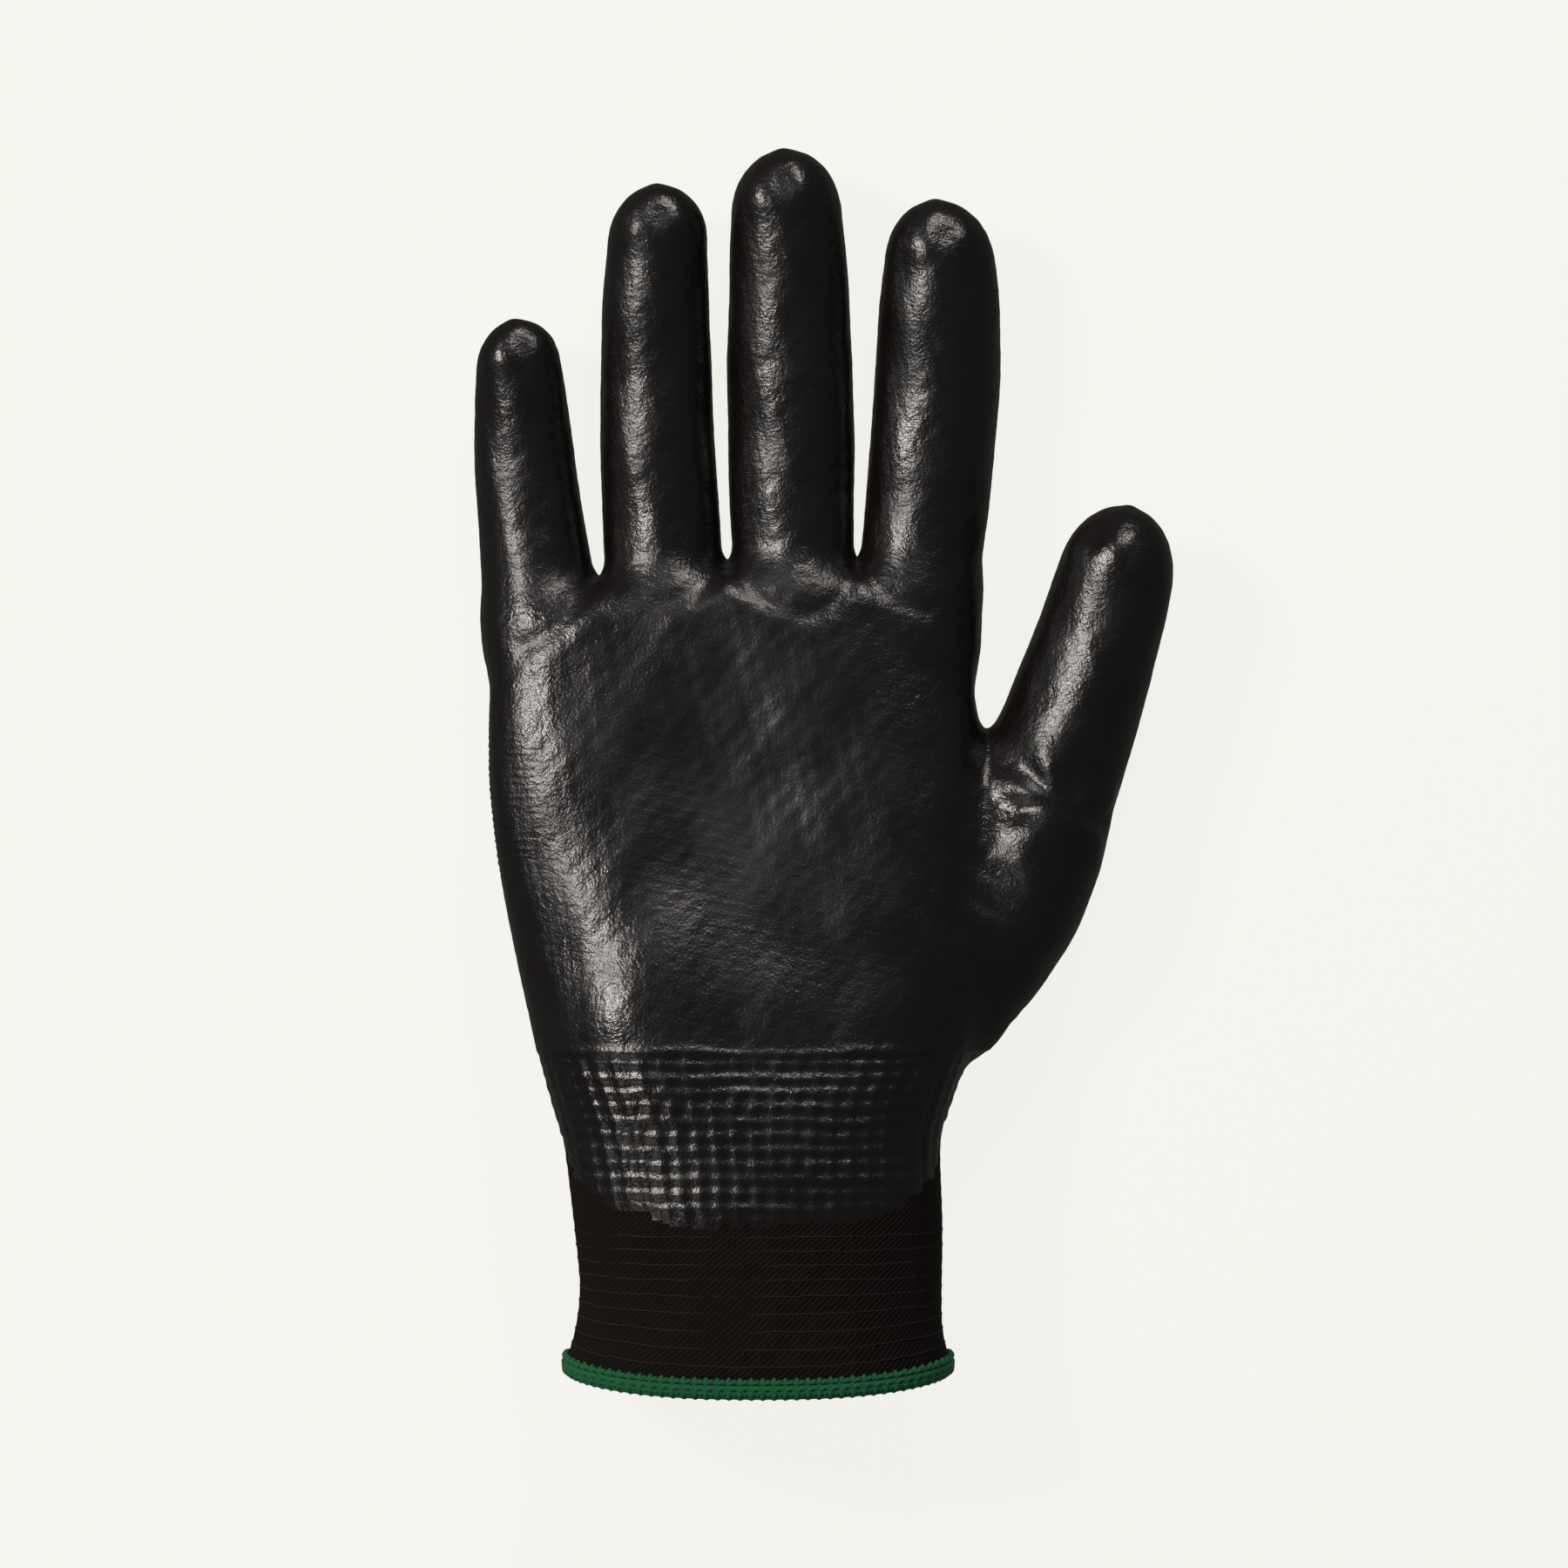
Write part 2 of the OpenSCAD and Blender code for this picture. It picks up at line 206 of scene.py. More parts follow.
def body_field(p):
    """About the distance from the surface of the hand's body and the cuff."""
    y = p[:, 1]
    x0, x1, z0, z1 = [c(y) for c in BODY_CURVES]
    a, b = (x1 - x0) / 2, (z1 - z0) / 2
    u, v = np.abs(p[:, 0] - (x0 + x1) / 2) / a, np.abs(p[:, 2] - (z0 + z1) / 2) / b
    power = SQUARENESS + PALM_SQUARER * bell(y - 6, 24)
    r = (u ** power + v ** power + 1e-9) ** (1 / power)
    # Scale the implicit value by its own slope so that it reads as a distance.
    du = (u / r) ** (power - 1) / a
    dv = (v / r) ** (power - 1) / b
    d = (r - 1) / np.sqrt(du ** 2 + dv ** 2 + 1e-6)
    # The web beside the little finger lies lower than the others.
    end = BODY_END + 0.13 * np.minimum(p[:, 0] + 20, 0)
    return -smooth_min(-d, -(y - end), 8)


def field(p):
    """About the distance from the glove's surface, negative inside."""
    fingers = FINGER_SHAPES[0].field(p)
    for f in FINGER_SHAPES[1:4]:
        fingers = smooth_min(fingers, f.field(p), 0.8)
    hand = smooth_min(body_field(p), fingers, 5)
    # The palm's hollow, and the heel's mound below it on the little finger's side.
    x, y = p[:, 0], p[:, 1]
    facing = np.clip((p[:, 2] - 16) / 8, 0, 1)
    hollow = mound(x + 0.35 * y, y, (-18.1, -6), (21, 26))
    heel = mound(x, y, (-37, -47), (15, 19))
    hand = hand + (3.6 * hollow - 3.2 * heel) * facing
    return smooth_min(hand, THUMB.field(p), 7)


def gradient(p, step=0.25):
    g = np.empty_like(p)
    for k in range(3):
        shift = np.zeros(3)
        shift[k] = step
        g[:, k] = (field(p + shift) - field(p - shift)) / (2 * step)
    return g


def unit(vectors):
    return vectors / np.linalg.norm(vectors, axis=1)[:, None]


def onto_surface(p, rounds):
    """Move points along the gradient until they lie on the surface."""
    for _ in range(rounds):
        g = gradient(p)
        p = p - (field(p) / np.maximum((g * g).sum(1), 1e-6))[:, None] * g
    return p


def grid_crossings(values, inside):
    """For each grid cell, the sum and the number of the surface's crossings of its edges."""
    cells = tuple(n - 1 for n in values.shape)
    total, count = np.zeros(cells + (3,)), np.zeros(cells)

    def corner(array, offset):
        i, j, k = offset
        return array[i:i + cells[0], j:j + cells[1], k:k + cells[2]]

    for axis in range(3):
        others = [k for k in range(3) if k != axis]
        for first in (0, 1):
            for second in (0, 1):
                a = [0, 0, 0]
                a[others[0]], a[others[1]] = first, second
                b = list(a)
                b[axis] = 1
                va, vb = corner(values, a), corner(values, b)
                crossing = corner(inside, a) != corner(inside, b)
                point = np.array(a, float) + np.zeros(cells + (3,))
                point[..., axis] = np.where(crossing, va / np.where(va == vb, 1, va - vb), 0)
                total += point * crossing[..., None]
                count += crossing
    return total, count


def surface_nets(low, high, cell):
    """Quads over the zero level of the field on a regular grid."""
    axes = [np.arange(lo, hi, cell) for lo, hi in zip(low, high)]
    shape = [len(a) for a in axes]
    values = np.empty(shape)
    grid_yz = np.stack(np.meshgrid(axes[1], axes[2], indexing="ij"), -1).reshape(-1, 2)
    for i, x in enumerate(axes[0]):
        slab = np.column_stack((np.full(len(grid_yz), x), grid_yz))
        values[i] = field(slab).reshape(shape[1:])
    inside = values < 0
    total, count = grid_crossings(values, inside)
    used = count > 0
    number = np.full(count.shape, -1)
    number[used] = np.arange(used.sum())
    origin = np.array([a[0] for a in axes])
    points = origin + (np.argwhere(used) + total[used] / count[used][:, None]) * cell
    faces = []
    for axis in range(3):
        u, v = (axis + 1) % 3, (axis + 2) % 3
        along = [slice(None)] * 3
        ahead = [slice(None)] * 3
        along[axis], ahead[axis] = slice(0, -1), slice(1, None)
        at = np.argwhere(inside[tuple(along)] != inside[tuple(ahead)])
        within = (at[:, u] > 0) & (at[:, v] > 0)
        within &= (at[:, u] < shape[u] - 1) & (at[:, v] < shape[v] - 1)
        at = at[within]
        ring = []
        for du, dv in ((-1, -1), (0, -1), (0, 0), (-1, 0)):
            c = at.copy()
            c[:, u] += du
            c[:, v] += dv
            ring.append(number[tuple(c.T)])
        q = np.stack(ring, 1)
        leaving = inside[tuple(at.T)]
        q[~leaving] = q[~leaving][:, ::-1]
        faces.append(q)
    return points, np.concatenate(faces)


def neighbours_mean(points, faces):
    total, count = np.zeros_like(points), np.zeros(len(points))
    for k in range(4):
        for other in (faces[:, (k + 1) % 4], faces[:, (k + 3) % 4]):
            np.add.at(total, faces[:, k], points[other])
            np.add.at(count, faces[:, k], 1)
    return total / np.maximum(count, 1)[:, None]


def face_edges(faces):
    """The four edges of each quad, one side of all the quads after another."""
    return np.concatenate([faces[:, [k, (k + 1) % 4]] for k in range(4)])


def subdivide(points, faces):
    """Each quad becomes four."""
    unique, back = np.unique(np.sort(face_edges(faces), 1), axis=0, return_inverse=True)
    back = back.reshape(4, -1)
    n, m = len(points), len(unique)
    centre_at = n + m + np.arange(len(faces))
    quarters = [np.stack((faces[:, k], n + back[k], centre_at, n + back[(k + 3) % 4]), 1)
                for k in range(4)]
    points = np.concatenate((points, points[unique].mean(1), points[faces].mean(1)))
    return points, np.concatenate(quarters)


def droop(y, height):
    """How far the cuff's courses hang, by y and by height from its middle, -1 to 1."""
    return HEM_DROOP * smoothstep(-y, *DROOP_ZONE) * height ** 2


def above_edge(p):
    """How far a point of the cuff lies above the cuff's curved edge."""
    z0, z1 = BODY_CURVES[2](p[:, 1]), BODY_CURVES[3](p[:, 1])
    height = (p[:, 2] - (z0 + z1) / 2) / ((z1 - z0) / 2)
    return p[:, 1] + droop(p[:, 1], height) - CUFF_END


# The surface is found on a grid, evened out, refined and cut off at the cuff's edge.
verts, quads = surface_nets((-72, -124, -4), (72, 124, 52), CELL)
for _ in range(3):
    verts = verts + 0.5 * (neighbours_mean(verts, quads) - verts)
    verts = onto_surface(verts, 1)
verts, quads = subdivide(verts, quads)
verts = onto_surface(verts, 2)
quads = quads[(above_edge(verts)[quads] > 0).all(1)]
kept = np.unique(quads)
renumber = np.full(len(verts), -1)
renumber[kept] = np.arange(len(kept))
verts, quads = verts[kept], renumber[quads]
base_normals = unit(gradient(verts))

# ---- where each point is ----------------------------------------------------

finger_values = np.stack([f.field(verts) for f in FINGER_SHAPES])
nearest = finger_values.argmin(0)
on_thumb = finger_values[4] < np.minimum(body_field(verts), finger_values[:4].min(0))
X, Y, Z = verts.T


def waves(p, size, seed, count=7):
    """A soft uneven pattern about one unit high, with lumps of the given size."""
    rng = np.random.default_rng(seed)
    out = np.zeros(len(p))
    for _ in range(count):
        d = rng.normal(size=3)
        d *= 2 * np.pi / size * rng.uniform(0.6, 1.4) / np.linalg.norm(d)
        out += np.sin(p @ d + rng.uniform(0, 6.28))
    return out / count ** 0.5


def turn_about_body(p):
    """Direction from the body's middle, with the section drawn out to a circle."""
    x0, x1, z0, z1 = [c(p[:, 1]) for c in BODY_CURVES]
    across = (2 * p[:, 0] - x0 - x1) / (x1 - x0)
    high = (2 * p[:, 2] - z0 - z1) / (z1 - z0)
    return np.arctan2(high, across)


def section(y, count):
    """Points round the cuff's section at each y, and their heights, -1 to 1."""
    a = np.linspace(-np.pi, np.pi, count, endpoint=False)
    x0, x1, z0, z1 = [c(y) for c in BODY_CURVES]
    power = 2 / SQUARENESS
    cx = np.sign(np.cos(a)) * np.abs(np.cos(a)) ** power
    cz = np.sign(np.sin(a)) * np.abs(np.sin(a)) ** power
    x = (x0 + x1) / 2 + cx * (x1 - x0) / 2
    z = (z0 + z1) / 2 + cz * (z1 - z0) / 2
    return np.stack((x, np.zeros(count) + y, z), 1), cz


# Distance round the cuff, measured on one of its sections, for ribs and courses.
gauge, _ = section(-80.0, 720)
gauge_step = np.linalg.norm(np.diff(gauge, axis=0), axis=1)
gauge_length = np.concatenate(((0,), np.cumsum(gauge_step)))
rib_u = np.interp(turn_about_body(verts), turn_about_body(gauge), gauge_length)
course_v = above_edge(verts) + CUFF_END

# Height above which the dipped coating lies, by y. Courses ripple its lower edge.
DIP = smooth_curve((-86.5, -80, -71, -60, -40, 0, 40, 80, 104, 118),
                   (46, 36, 27, 20, 15, 12, 9.5, 7, 3, -4), -100, 130, 4)
dip_slope = np.abs(DIP(Y + 0.5) - DIP(Y - 0.5))
dip_depth = (Z - DIP(Y)) / np.sqrt(1 + dip_slope ** 2)
dip_depth += 0.6 * waves(verts, 11, 3) + 0.3 * waves(verts, 3.2, 4)
course_band = smoothstep(-Y, 63, 66) * (1 - smoothstep(-Y, 78, 83))
dip_depth += 0.5 * course_band * np.cos(2 * np.pi * course_v / COURSE_PITCH)
dip_depth = np.where(Y < -90, -5, dip_depth)

# ---- relief: folds, wrinkles, fingertips, ribs and courses --------------------


def crease(p, start, middle, end, width):
    """1 on a curved line across the palm side, falling to 0 either side."""
    t = np.linspace(0, 1, 24)[:, None]
    a, b, c = (np.array(v, float) for v in (start, middle, end))
    line = (1 - t) ** 2 * a + 2 * t * (1 - t) * b + t * t * c
    best = np.full(len(p), 1e9)
    for q in line:
        best = np.minimum(best, (p[:, 0] - q[0]) ** 2 + (p[:, 1] - q[1]) ** 2)
    return np.exp(-best / width ** 2)


palm_side = smoothstep(base_normals[:, 2], 0.0, 0.5)
relief = (0.08 + 0.10 * palm_side) * waves(verts, 26, 11) + 0.03 * waves(verts, 2.6, 13)
relief += (0.02 + 0.06 * palm_side) * waves(verts, 9, 12)

# Folds that run down from the webs between the fingers, each with a roll below it.
WEB_FOLDS = (
    ((-43.6, 39), (-46, 30), (-57, 25)),
    ((-18.7, 41), (-21, 35), (-31, 33)),
    ((-18.7, 41), (-15, 34), (-8, 33)),
    ((6.5, 41), (5, 33), (-4, 31)),
    ((6.5, 41), (10, 34), (19, 32)),
)
ROLL_DROPS = (4, 4.2, 4.2)
for fold in WEB_FOLDS:
    roll = [(x, y - drop) for (x, y), drop in zip(fold, ROLL_DROPS)]
    relief -= 0.35 * palm_side * crease(verts, *fold, 2.0)
    relief += 0.2 * palm_side * crease(verts, *roll, 2.6)

# The star of wrinkles at the thumb's root.
star = verts - np.array((44.5, -5.5, 28))
star_angle = np.arctan2(star[:, 1], star[:, 0])
star_reach = np.hypot(star[:, 0], star[:, 1])
spokes = np.sin(5 * star_angle + 1.1 * np.sin(2 * star_angle + 1))
relief += 0.55 * palm_side ** 3 * bell(star_reach - 7, 6.5) * spokes * smoothstep(star_reach, 1, 8)

# Soft folds across the thumb's mound.
thumb_patch = np.exp(-((X - 33) ** 2 + (Y + 26) ** 2) / 110)
relief += 0.35 * palm_side * thumb_patch * np.sin((Y + 0.5 * X) * 0.9)

# Fine ripples on the little finger's edge of the hand.
ripple = bell(X + 62, 7) * smoothstep(Y, -24, -14) * (1 - smoothstep(Y, 4, 14))
relief += 0.10 * ripple * np.sin(2 * np.pi * Y / 1.4 + 0.7 * waves(verts, 12, 5))

# Slight folds at the joints of each finger, and at its tip a dimple between two
# swellings and a small nub. Each fingertip's dimple is off the middle by its own amount.
for k, f in enumerate(FINGER_SHAPES):
    s, across, high = f.local(verts)
    here = nearest == k
    for part in f.parts[1:]:
        relief -= here * palm_side * 0.10 * bell(s - part + 3 + 0.02 * across ** 2, 1.8)
    tip_s = f.length - f.tip * 0.75
    off = 1.1 * math.sin(2.2 * k + 0.6)
    dimple = np.exp(-((s - tip_s - 0.8) ** 2 + ((across - off) * 1.1) ** 2) / 8)
    cheek = np.exp(-((s - tip_s + 1.8) ** 2 / 14 + (across + 4.4 - off) ** 2 / 9))
    cheek += 0.7 * np.exp(-((s - tip_s - 0.6 * off) ** 2 / 9 + (across - 4.2 - off) ** 2 / 7))
    relief += here * (high > 0) * (0.5 * cheek - 0.5 * dimple)
    nub = np.exp(-((s - f.length) ** 2 + (across + 0.8) ** 2 + (high - 0.5) ** 2) / 2.2)
    relief += here * 0.3 * nub

# Ribs and courses of the cuff. They show through the thin base coat.
on_cuff = 1 - smoothstep(Y, -53.5, -51.5)
rib = np.cos(2 * np.pi * rib_u / RIB_PITCH + 0.35 * waves(verts, 16, 21))
course = np.cos(2 * np.pi * course_v / COURSE_PITCH + 0.45 * waves(verts, 14, 22))
waffle = 0.42 * np.clip(rib, -0.6, 1) + 0.62 * np.clip(course, -0.7, 1) + 0.2 * waves(verts, 4, 23)
thin_coat = smoothstep(dip_depth, 0, 2.5)
rib_height = 0.05 + 0.20 * thin_coat * (0.25 + 0.75 * palm_side)
relief = relief * (1 - 0.45 * on_cuff) + on_cuff * waffle * rib_height

# The low step where the palm's top coat ends above the cuff.
coat_step = Y + 52.2 + 0.4 * waves(verts, 14, 8)
relief += 0.28 * bell(coat_step, 0.9) * palm_side
relief -= RELIEF_SINK

# 1 in the middle of the palm and at the sides, where the coating is thin and dull.
dull = palm_side * np.exp(-(((X + 14) / 26) ** 2 + ((Y - 2) / 34) ** 2) ** 1.5)
dull += 0.8 * (1 - smoothstep(base_normals[:, 2], 0.15, 0.55)) * (1 - smoothstep(Y, 88, 108))

# ---- pieces -----------------------------------------------------------------

face_mid = verts[quads].mean(1)
face_y = face_mid[:, 1]
face_nearest = nearest[quads[:, 0]]
face_s = np.stack([f.local(face_mid)[0] for f in FINGER_SHAPES])
face_thumb = on_thumb[quads].mean(1) > 0.5
zones = {}
taken = np.zeros(len(quads), bool)


def claim(name, mask, **how):
    """Give a zone the faces in the mask that no earlier zone has."""
    zones[name] = (mask & ~taken, how)
    taken[mask] = True


def across_fold(before, after, zone):
    """How a piece that lies across the palm bends, from one y to another."""
    return dict(bodies=(before, after), start=(0, zone[0], 0), end=(0, zone[1], 0))


for k, f in enumerate(FINGER_SHAPES):
    if f is THUMB:
        mine = face_thumb
        hand = "palm"
    else:
        mine = (face_nearest == k) & (face_y > 30) & ~face_thumb
        hand = "knuckles"
    labels = ("root", "mid", "tip") if len(f.parts) == 3 else ("root", "tip")
    for i in reversed(range(len(labels))):
        here = f"{f.name}_{labels[i]}"
        before = f"{f.name}_{labels[i - 1]}" if i else hand
        # A fold ends just short of the next one, or part of the way up the fingertip.
        end = f.parts[i] + 21 if i + 1 == len(labels) else f.parts[i + 1] - 1
        claim(here, mine & (face_s[k] > f.parts[i]), bodies=(before, here),
              start=f.base + f.along * (f.parts[i] + 0.8), end=f.base + f.along * end)
claim("knuckles", (face_y > KNUCKLE_ZONE[0] - PAST_FOLD) & ~face_thumb,
      **across_fold("palm", "knuckles", KNUCKLE_ZONE))
claim("cuff", face_y < WRIST_ZONE[0] - PAST_FOLD)
claim("wrist", face_y < WRIST_ZONE[1] + PAST_FOLD, **across_fold("cuff", "palm", WRIST_ZONE))
claim("palm", np.ones(len(quads), bool))


def boundary_edges(faces):
    edges = face_edges(faces)
    _, first, counts = np.unique(np.sort(edges, 1), axis=0, return_index=True, return_counts=True)
    return edges[first[counts == 1]]


def vertex_normals(p, faces):
    diagonal = np.cross(p[faces[:, 2]] - p[faces[:, 0]], p[faces[:, 3]] - p[faces[:, 1]])
    out = np.zeros_like(p)
    for k in range(4):
        np.add.at(out, faces[:, k], diagonal)
    return out / np.maximum(np.linalg.norm(out, axis=1), 1e-12)[:, None]


def add_object(name, data):
    obj = bpy.data.objects.new(name, data)
    bpy.context.scene.collection.objects.link(obj)
    return obj


def make_mesh(name, points, faces, material, normals=None, attributes=None):
    """A smooth-shaded mesh object from points in millimetres."""
    mesh = bpy.data.meshes.new(name)
    mesh.vertices.add(len(points))
    mesh.vertices.foreach_set("co", (points * MM).astype(np.float32).ravel())
    corners = faces.shape[1]
    loop_count = len(faces) * corners
    mesh.loops.add(loop_count)
    mesh.loops.foreach_set("vertex_index", faces.astype(np.int32).ravel())
    mesh.polygons.add(len(faces))
    mesh.polygons.foreach_set("loop_start", np.arange(0, loop_count, corners, dtype=np.int32))
    mesh.polygons.foreach_set("loop_total", np.full(len(faces), corners, np.int32))
    mesh.update(calc_edges=True)
    mesh.polygons.foreach_set("use_smooth", np.ones(len(faces), bool))
    for key, values in (attributes or {}).items():
        layer = mesh.attributes.new(key, "FLOAT_VECTOR", "POINT")
        layer.data.foreach_set("vector", values.astype(np.float32).ravel())
    if normals is not None:
        mesh.normals_split_custom_set_from_vertices(normals.tolist())
    mesh.materials.append(material)
    return add_object(name, mesh)


def shell(name, faces, top, bottom, top_normals, material):
    """A closed piece between two layers over the same faces.

    Its attribute "rest" holds each point's place, and "cloth" holds the distance round
    the cuff, the course and the dullness.
    """
    used = np.unique(faces)
    order = np.full(len(top), -1)
    order[used] = np.arange(len(used))
    f = order[faces]
    n = len(used)
    rim = boundary_edges(f)
    sides = np.stack((rim[:, 1], rim[:, 0], rim[:, 0] + n, rim[:, 1] + n), 1)
    all_faces = np.concatenate((f, f[:, ::-1] + n, sides))
    points = np.concatenate((top[used], bottom[used]))
    normals = np.concatenate((top_normals[used], -base_normals[used]))
    rest = np.concatenate((verts[used], bottom[used]))
    cloth = np.stack((rib_u, course_v, dull), 1)[used]
    return make_mesh(name, points, all_faces, material, normals,
                     {"rest": rest, "cloth": np.concatenate((cloth, cloth))})


def place(obj, body, bodies=None, start=None, end=None):
    """Bake the place of a piece that lies across a fold into its points, or let it ride on one
    body if it has no fold.
    """
    if bodies:
        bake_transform(obj)
    else:
        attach(obj, body)


# ---- materials --------------------------------------------------------------

COATING_COLOUR = (0.0044, 0.0034, 0.0029, 1)
KNIT_COLOUR = (0.0066, 0.0049, 0.0043)
HEM_COLOUR = (0.012, 0.100, 0.040)
ELASTIC_COLOUR = (0.0145, 0.0122, 0.0112)
WALE_PITCH = 1.05               # millimetres between the knit's slanting lines
ROW_PITCH = 0.7                 # millimetres between its stitches


class Nodes:
    """A short way to write a material's node tree."""

    def __init__(self, name):
        self.material = bpy.data.materials.new(name)
        self.material.use_nodes = True
        self.tree = self.material.node_tree
        self.shader = self.tree.nodes["Principled BSDF"]

    def add(self, kind, inputs=None, **settings):
        node = self.tree.nodes.new(kind)
        for key, value in settings.items():
            setattr(node, key, value)
        for key, value in (inputs or {}).items():
            self.set(node.inputs[key], value)
        return node

    def set(self, socket, value):
        if isinstance(value, bpy.types.NodeSocket):
            self.tree.links.new(value, socket)
        else:
            socket.default_value = value

    def math(self, operation, a, b=0.0, c=0.0):
        return self.add("ShaderNodeMath", {0: a, 1: b, 2: c}, operation=operation).outputs[0]

    def weigh(self, *terms):
        """The sum of values, each times its weight."""
        total = None
        for value, weight in terms:
            value = self.math("MULTIPLY", value, weight)
            total = value if total is None else self.math("ADD", total, value)
        return total

    def attribute(self, name):
        return self.add("ShaderNodeAttribute", attribute_name=name).outputs["Vector"]

    def noise(self, vector, scale, detail=2.0, rough=0.5):
        return self.add("ShaderNodeTexNoise", {"Vector": vector, "Scale": scale, "Detail": detail,
                                               "Roughness": rough}).outputs["Fac"]

    def spread(self, value, low, high, to_low, to_high):
        """The value's range from low to high, mapped onto another range."""
        ends = {"From Min": low, "From Max": high, "To Min": to_low, "To Max": to_high}
        return self.add("ShaderNodeMapRange", {"Value": value, **ends}).outputs["Result"]

    def shade(self, colour, tone):
        """A colour made lighter or darker by a changing tone."""
        inputs = {0: colour, "Scale": tone}
        return self.add("ShaderNodeVectorMath", inputs, operation="SCALE").outputs["Vector"]

    def bump(self, height, distance, strength):
        inputs = {"Height": height, "Distance": distance, "Strength": strength}
        return self.add("ShaderNodeBump", inputs).outputs["Normal"]

    def finish(self, **sockets):
        for key, value in sockets.items():
            self.set(self.shader.inputs[key.replace("_", " ")], value)
        return self.material


def coating_material():
    """Semi-gloss black foam: fine pebbles, patches of gloss, and a duller palm."""
    n = Nodes("coating")
    at = n.attribute("rest")
    cells = n.add("ShaderNodeTexVoronoi", {"Vector": at, "Scale": 1.15}, feature="SMOOTH_F1")
    pebble = cells.outputs["Distance"]
    grain = n.noise(at, 1.9, 2, 0.6)
    lumps = n.noise(at, 0.3, 2)
    height = n.weigh((pebble, 0.5), (grain, 1.0), (lumps, 0.3))
    dullness = n.add("ShaderNodeSeparateXYZ", {"Vector": n.attribute("cloth")}).outputs["Z"]
    patches = n.spread(n.noise(at, 0.09, 4, 0.6), 0.35, 0.65, 0.235, 0.335)
    rough = n.math("MULTIPLY_ADD", dullness, 0.07, patches)
    strength = n.math("MULTIPLY_ADD", dullness, -0.45, 1.0)
    return n.finish(Base_Color=COATING_COLOUR, Roughness=rough,
                    Normal=n.bump(height, 0.00010, strength), Specular_IOR_Level=0.5)


def knit_material():
    """Matt black knitting with fine slanting lines, rows of stitches and fuzz."""
    n = Nodes("knit")
    place_on_cloth = n.add("ShaderNodeSeparateXYZ", {"Vector": n.attribute("cloth")})
    around, up = place_on_cloth.outputs["X"], place_on_cloth.outputs["Y"]
    slope = n.math("ADD", n.math("MULTIPLY", around, 0.8), up)
    wale = n.math("SINE", n.math("MULTIPLY", slope, -2 * math.pi / WALE_PITCH))
    row = n.math("SINE", n.math("MULTIPLY", around, 2 * math.pi / ROW_PITCH))
    fuzz = n.noise(n.attribute("rest"), 3.0, 3, 0.7)
    height = n.weigh((wale, 0.45), (row, 0.2), (fuzz, 0.8))
    tone = n.spread(height, -0.4, 1.2, 0.5, 1.5)
    return n.finish(Base_Color=n.shade(KNIT_COLOUR, tone), Roughness=0.85,
                    Normal=n.bump(height, 0.00025, 0.7), Specular_IOR_Level=0.08)


def yarn_material(name, colour):
    """Matt yarn with uneven fibres."""
    n = Nodes(name)
    fibre = n.noise(n.attribute("rest"), 4.0, 3, 0.7)
    tone = n.spread(fibre, 0.3, 0.7, 0.7, 1.3)
    return n.finish(Base_Color=n.shade(colour, tone), Roughness=0.85,
                    Normal=n.bump(fibre, 0.0002, 0.8), Specular_IOR_Level=0.15)


coating = coating_material()
knit = knit_material()
hem_green = yarn_material("hem_yarn", HEM_COLOUR)
elastic_grey = yarn_material("elastic", ELASTIC_COLOUR)

# ---- the liner and its coating ----------------------------------------------

knit_top = verts + base_normals * relief[:, None]
knit_bottom = verts - base_normals * KNIT_WALL
knit_normals = vertex_normals(knit_top, quads)
coat_extra = 0.03 + COAT_WALL * smoothstep(dip_depth, 0, 1.6) * (1 - 0.45 * on_cuff)
coat_top = verts + base_normals * (relief + coat_extra)[:, None]
coat_bottom = verts + base_normals * (relief + 0.015)[:, None]
coat_normals = vertex_normals(coat_top, quads)
coated_face = dip_depth[quads].mean(1) > 0

KNIT_NODE = {"palm": "liner_palm", "knuckles": "liner_knuckles", "cuff": "knit_cuff"}
COAT_NODE = {"palm": "coating_palm", "knuckles": "coating_knuckles", "cuff": "coating_wrist"}
for zone, (mask, how) in zones.items():
    piece = shell(f"knit_{zone}", quads[mask], knit_top, knit_bottom, knit_normals, knit)
    place(piece, body=zone, **how)
    if zone != "wrist":
        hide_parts(KNIT_NODE.get(zone, f"liner_{zone}"))
    coated = mask & coated_face
    if coated.sum() > 20:
        piece = shell(f"coat_{zone}", quads[coated], coat_top, coat_bottom, coat_normals, coating)
        place(piece, body=zone, **how)
        if zone != "wrist":
            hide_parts(COAT_NODE.get(zone, f"coating_{zone}"))

# ---- elastic threads and the hem --------------------------------------------


def cuff_ring(y_side, count=720):
    """Points round the cuff on the course that meets its sides at y_side.

    Returns the points, the directions straight out from them, and the ring's length.
    """
    y = np.full(count, float(y_side))
    for _ in range(3):
        ring, height = section(y, count)
        y = y_side - droop(y, height)
    ring[:, 1] = y
    step = np.linalg.norm(np.roll(ring, -1, 0) - ring, axis=1)
    travelled = np.concatenate(((0,), np.cumsum(step)))
    closed = np.concatenate((ring, ring[:1]))
    even = np.linspace(0, travelled[-1], count, endpoint=False)
    ring = np.stack([np.interp(even, travelled, closed[:, k]) for k in range(3)], 1)
    return ring, unit(gradient(ring)), travelled[-1]


def loop_direction(line):
    """The direction along a closed loop at each of its points."""
    return unit(np.roll(line, -1, 0) - np.roll(line, 1, 0))


